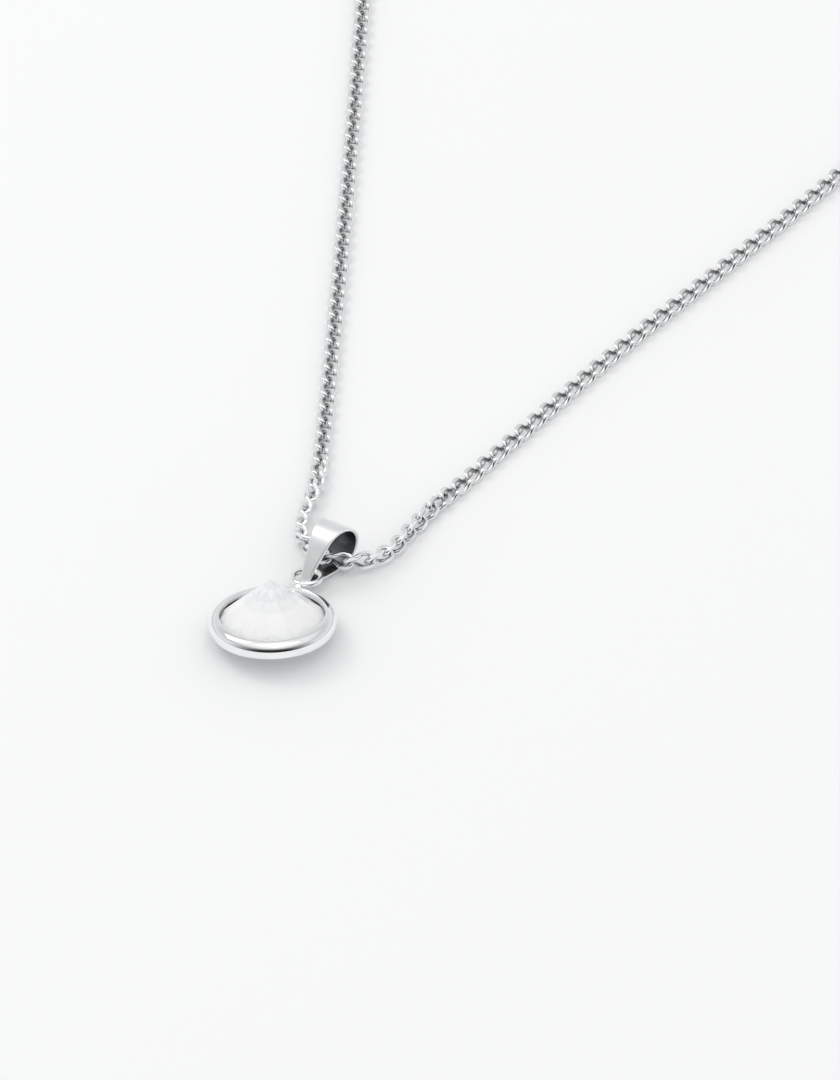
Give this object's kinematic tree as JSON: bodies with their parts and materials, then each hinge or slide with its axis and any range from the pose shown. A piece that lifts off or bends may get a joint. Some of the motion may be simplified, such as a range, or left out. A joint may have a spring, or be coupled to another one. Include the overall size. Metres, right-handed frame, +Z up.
{
  "type": "pendant necklace",
  "caption": "Open pendant necklace: a round faceted stone in a half-round silver rim hangs by an eyelet and a tapered folded bail on a flat curb chain with a lobster clasp.",
  "frame": {"origin": "centre of the back face of the pendant's base plate", "axes": "+Z up from the surface that the necklace lies on, +Y from the pendant towards the chain's ends, +X to the right when seen from the pendant's side"},
  "size_m": [0.1453, 0.2659, 0.0077],
  "materials": {
    "setting_silver": "mirror polished silver",
    "bail_silver": "mirror polished silver",
    "chain_silver": "polished silver with flats ground above and below",
    "clasp_silver": "polished silver",
    "spring_steel": "bright drawn wire",
    "clear_stone": "clear faceted crystal"
  },
  "bodies": {
    "chain_mid": {"chain_center": "chain_silver"},
    "left_strand_1": {"chain_left_01": "chain_silver", "chain_left_02": "chain_silver"},
    "left_strand_2": {"chain_left_03": "chain_silver", "chain_left_04": "chain_silver"},
    "left_strand_3": {"chain_left_05": "chain_silver", "chain_left_06": "chain_silver"},
    "left_strand_4": {"chain_left_07": "chain_silver", "chain_left_08": "chain_silver"},
    "left_strand_5": {"chain_left_09": "chain_silver", "chain_left_10": "chain_silver"},
    "left_strand_6": {"chain_left_11": "chain_silver", "chain_left_12": "chain_silver"},
    "left_strand_7": {"chain_left_13": "chain_silver", "chain_left_14": "chain_silver"},
    "left_strand_8": {"chain_left_15": "chain_silver", "chain_left_16": "chain_silver"},
    "right_strand_1": {"chain_right_01": "chain_silver", "chain_right_02": "chain_silver"},
    "right_strand_2": {"chain_right_03": "chain_silver", "chain_right_04": "chain_silver"},
    "right_strand_3": {"chain_right_05": "chain_silver", "chain_right_06": "chain_silver"},
    "right_strand_4": {"chain_right_07": "chain_silver", "chain_right_08": "chain_silver"},
    "right_strand_5": {"chain_right_09": "chain_silver", "chain_right_10": "chain_silver"},
    "right_strand_6": {"chain_right_11": "chain_silver", "chain_right_12": "chain_silver"},
    "right_strand_7": {"chain_right_13": "chain_silver", "chain_right_14": "chain_silver"},
    "right_strand_8": {"chain_right_15": "chain_silver", "chain_right_16": "chain_silver"},
    "bail": {"bail": "bail_silver"},
    "pendant": {"base_plate": "setting_silver", "bezel_rim": "setting_silver", "stone": "clear_stone", "eyelet_ring": "setting_silver"},
    "left_ring": {"left_jump_ring": "clasp_silver"},
    "catch": {"catch_ring": "clasp_silver"},
    "clasp_ring": {"clasp_jump_ring": "clasp_silver"},
    "clasp": {"clasp_body": "clasp_silver", "lever_rivet": "clasp_silver", "lever_spring": "spring_steel"},
    "lever": {"clasp_lever": "clasp_silver"}
  },
  "joints": [
    {"name": "left_chain_flex_1", "type": "hinge", "parent": "chain_mid", "child": "left_strand_1", "pos_m": [0.00347, 0.0212, -0.00021], "axis": [0, 0, 1], "range_deg": [-12, 12]},
    {"name": "left_chain_flex_2", "type": "hinge", "parent": "left_strand_1", "child": "left_strand_2", "pos_m": [0.00638, 0.05097, -0.00071], "axis": [0, 0, 1], "range_deg": [-12, 12]},
    {"name": "left_chain_flex_3", "type": "hinge", "parent": "left_strand_2", "child": "left_strand_3", "pos_m": [0.00796, 0.08093, -0.00071], "axis": [0, 0, 1], "range_deg": [-12, 12]},
    {"name": "left_chain_flex_4", "type": "hinge", "parent": "left_strand_3", "child": "left_strand_4", "pos_m": [0.00935, 0.11089, -0.00071], "axis": [0, 0, 1], "range_deg": [-12, 12]},
    {"name": "left_chain_flex_5", "type": "hinge", "parent": "left_strand_4", "child": "left_strand_5", "pos_m": [0.01111, 0.14084, -0.00071], "axis": [0, 0, 1], "range_deg": [-12, 12]},
    {"name": "left_chain_flex_6", "type": "hinge", "parent": "left_strand_5", "child": "left_strand_6", "pos_m": [0.01571, 0.17047, -0.00071], "axis": [0, 0, 1], "range_deg": [-12, 12]},
    {"name": "left_chain_flex_7", "type": "hinge", "parent": "left_strand_6", "child": "left_strand_7", "pos_m": [0.02338, 0.19946, -0.00071], "axis": [0, 0, 1], "range_deg": [-12, 12]},
    {"name": "left_chain_flex_8", "type": "hinge", "parent": "left_strand_7", "child": "left_strand_8", "pos_m": [0.03404, 0.22748, -0.00071], "axis": [0, 0, 1], "range_deg": [-12, 12]},
    {"name": "right_chain_flex_1", "type": "hinge", "parent": "chain_mid", "child": "right_strand_1", "pos_m": [0.0145, 0.01563, -0.00006], "axis": [0, 0, 1], "range_deg": [-12, 12]},
    {"name": "right_chain_flex_2", "type": "hinge", "parent": "right_strand_1", "child": "right_strand_2", "pos_m": [0.03178, 0.04009, -0.00071], "axis": [0, 0, 1], "range_deg": [-12, 12]},
    {"name": "right_chain_flex_3", "type": "hinge", "parent": "right_strand_2", "child": "right_strand_3", "pos_m": [0.05031, 0.06368, -0.00071], "axis": [0, 0, 1], "range_deg": [-12, 12]},
    {"name": "right_chain_flex_4", "type": "hinge", "parent": "right_strand_3", "child": "right_strand_4", "pos_m": [0.06903, 0.08712, -0.00071], "axis": [0, 0, 1], "range_deg": [-12, 12]},
    {"name": "right_chain_flex_5", "type": "hinge", "parent": "right_strand_4", "child": "right_strand_5", "pos_m": [0.08606, 0.11181, -0.00071], "axis": [0, 0, 1], "range_deg": [-12, 12]},
    {"name": "right_chain_flex_6", "type": "hinge", "parent": "right_strand_5", "child": "right_strand_6", "pos_m": [0.10096, 0.13783, -0.00071], "axis": [0, 0, 1], "range_deg": [-12, 12]},
    {"name": "right_chain_flex_7", "type": "hinge", "parent": "right_strand_6", "child": "right_strand_7", "pos_m": [0.11364, 0.16501, -0.00071], "axis": [0, 0, 1], "range_deg": [-12, 12]},
    {"name": "right_chain_flex_8", "type": "hinge", "parent": "right_strand_7", "child": "right_strand_8", "pos_m": [0.12399, 0.19316, -0.00071], "axis": [0, 0, 1], "range_deg": [-12, 12]},
    {"name": "bail_swing", "type": "hinge", "parent": "chain_mid", "child": "bail", "pos_m": [0.00652, 0.01253, 0.00175], "axis": [-0.8146, 0.5785, -0.0408], "range_deg": [0, 60]},
    {"name": "pendant_swing", "type": "hinge", "parent": "bail", "child": "pendant", "pos_m": [0.00452, 0.01028, -0.00004], "axis": [-0.9111, 0.3999, -0.0998], "range_deg": [0, 25]},
    {"name": "left_ring_swing", "type": "hinge", "parent": "left_strand_8", "child": "left_ring", "pos_m": [0.0477, 0.25451, -0.00072], "axis": [0, 0, 1], "range_deg": [-15, 15]},
    {"name": "catch_ring_swing", "type": "hinge", "parent": "left_ring", "child": "catch", "pos_m": [0.04812, 0.25529, 0.00004], "axis": [0, 0, 1], "range_deg": [-15, 15]},
    {"name": "clasp_ring_swing", "type": "hinge", "parent": "right_strand_8", "child": "clasp_ring", "pos_m": [0.13204, 0.22236, -0.00072], "axis": [0, 0, 1], "range_deg": [-15, 15]},
    {"name": "clasp_swing", "type": "hinge", "parent": "clasp_ring", "child": "clasp", "pos_m": [0.13245, 0.22386, -0.00028], "axis": [0, 0, 1], "range_deg": [-15, 15]},
    {"name": "lever_open", "type": "hinge", "parent": "clasp", "child": "lever", "pos_m": [0.13602, 0.22817, -0.00032], "axis": [0, 0, 1], "range_deg": [0, 25], "stiffness_Nm_per_rad": 0.0002, "springref_deg": -11.46}
  ]
}
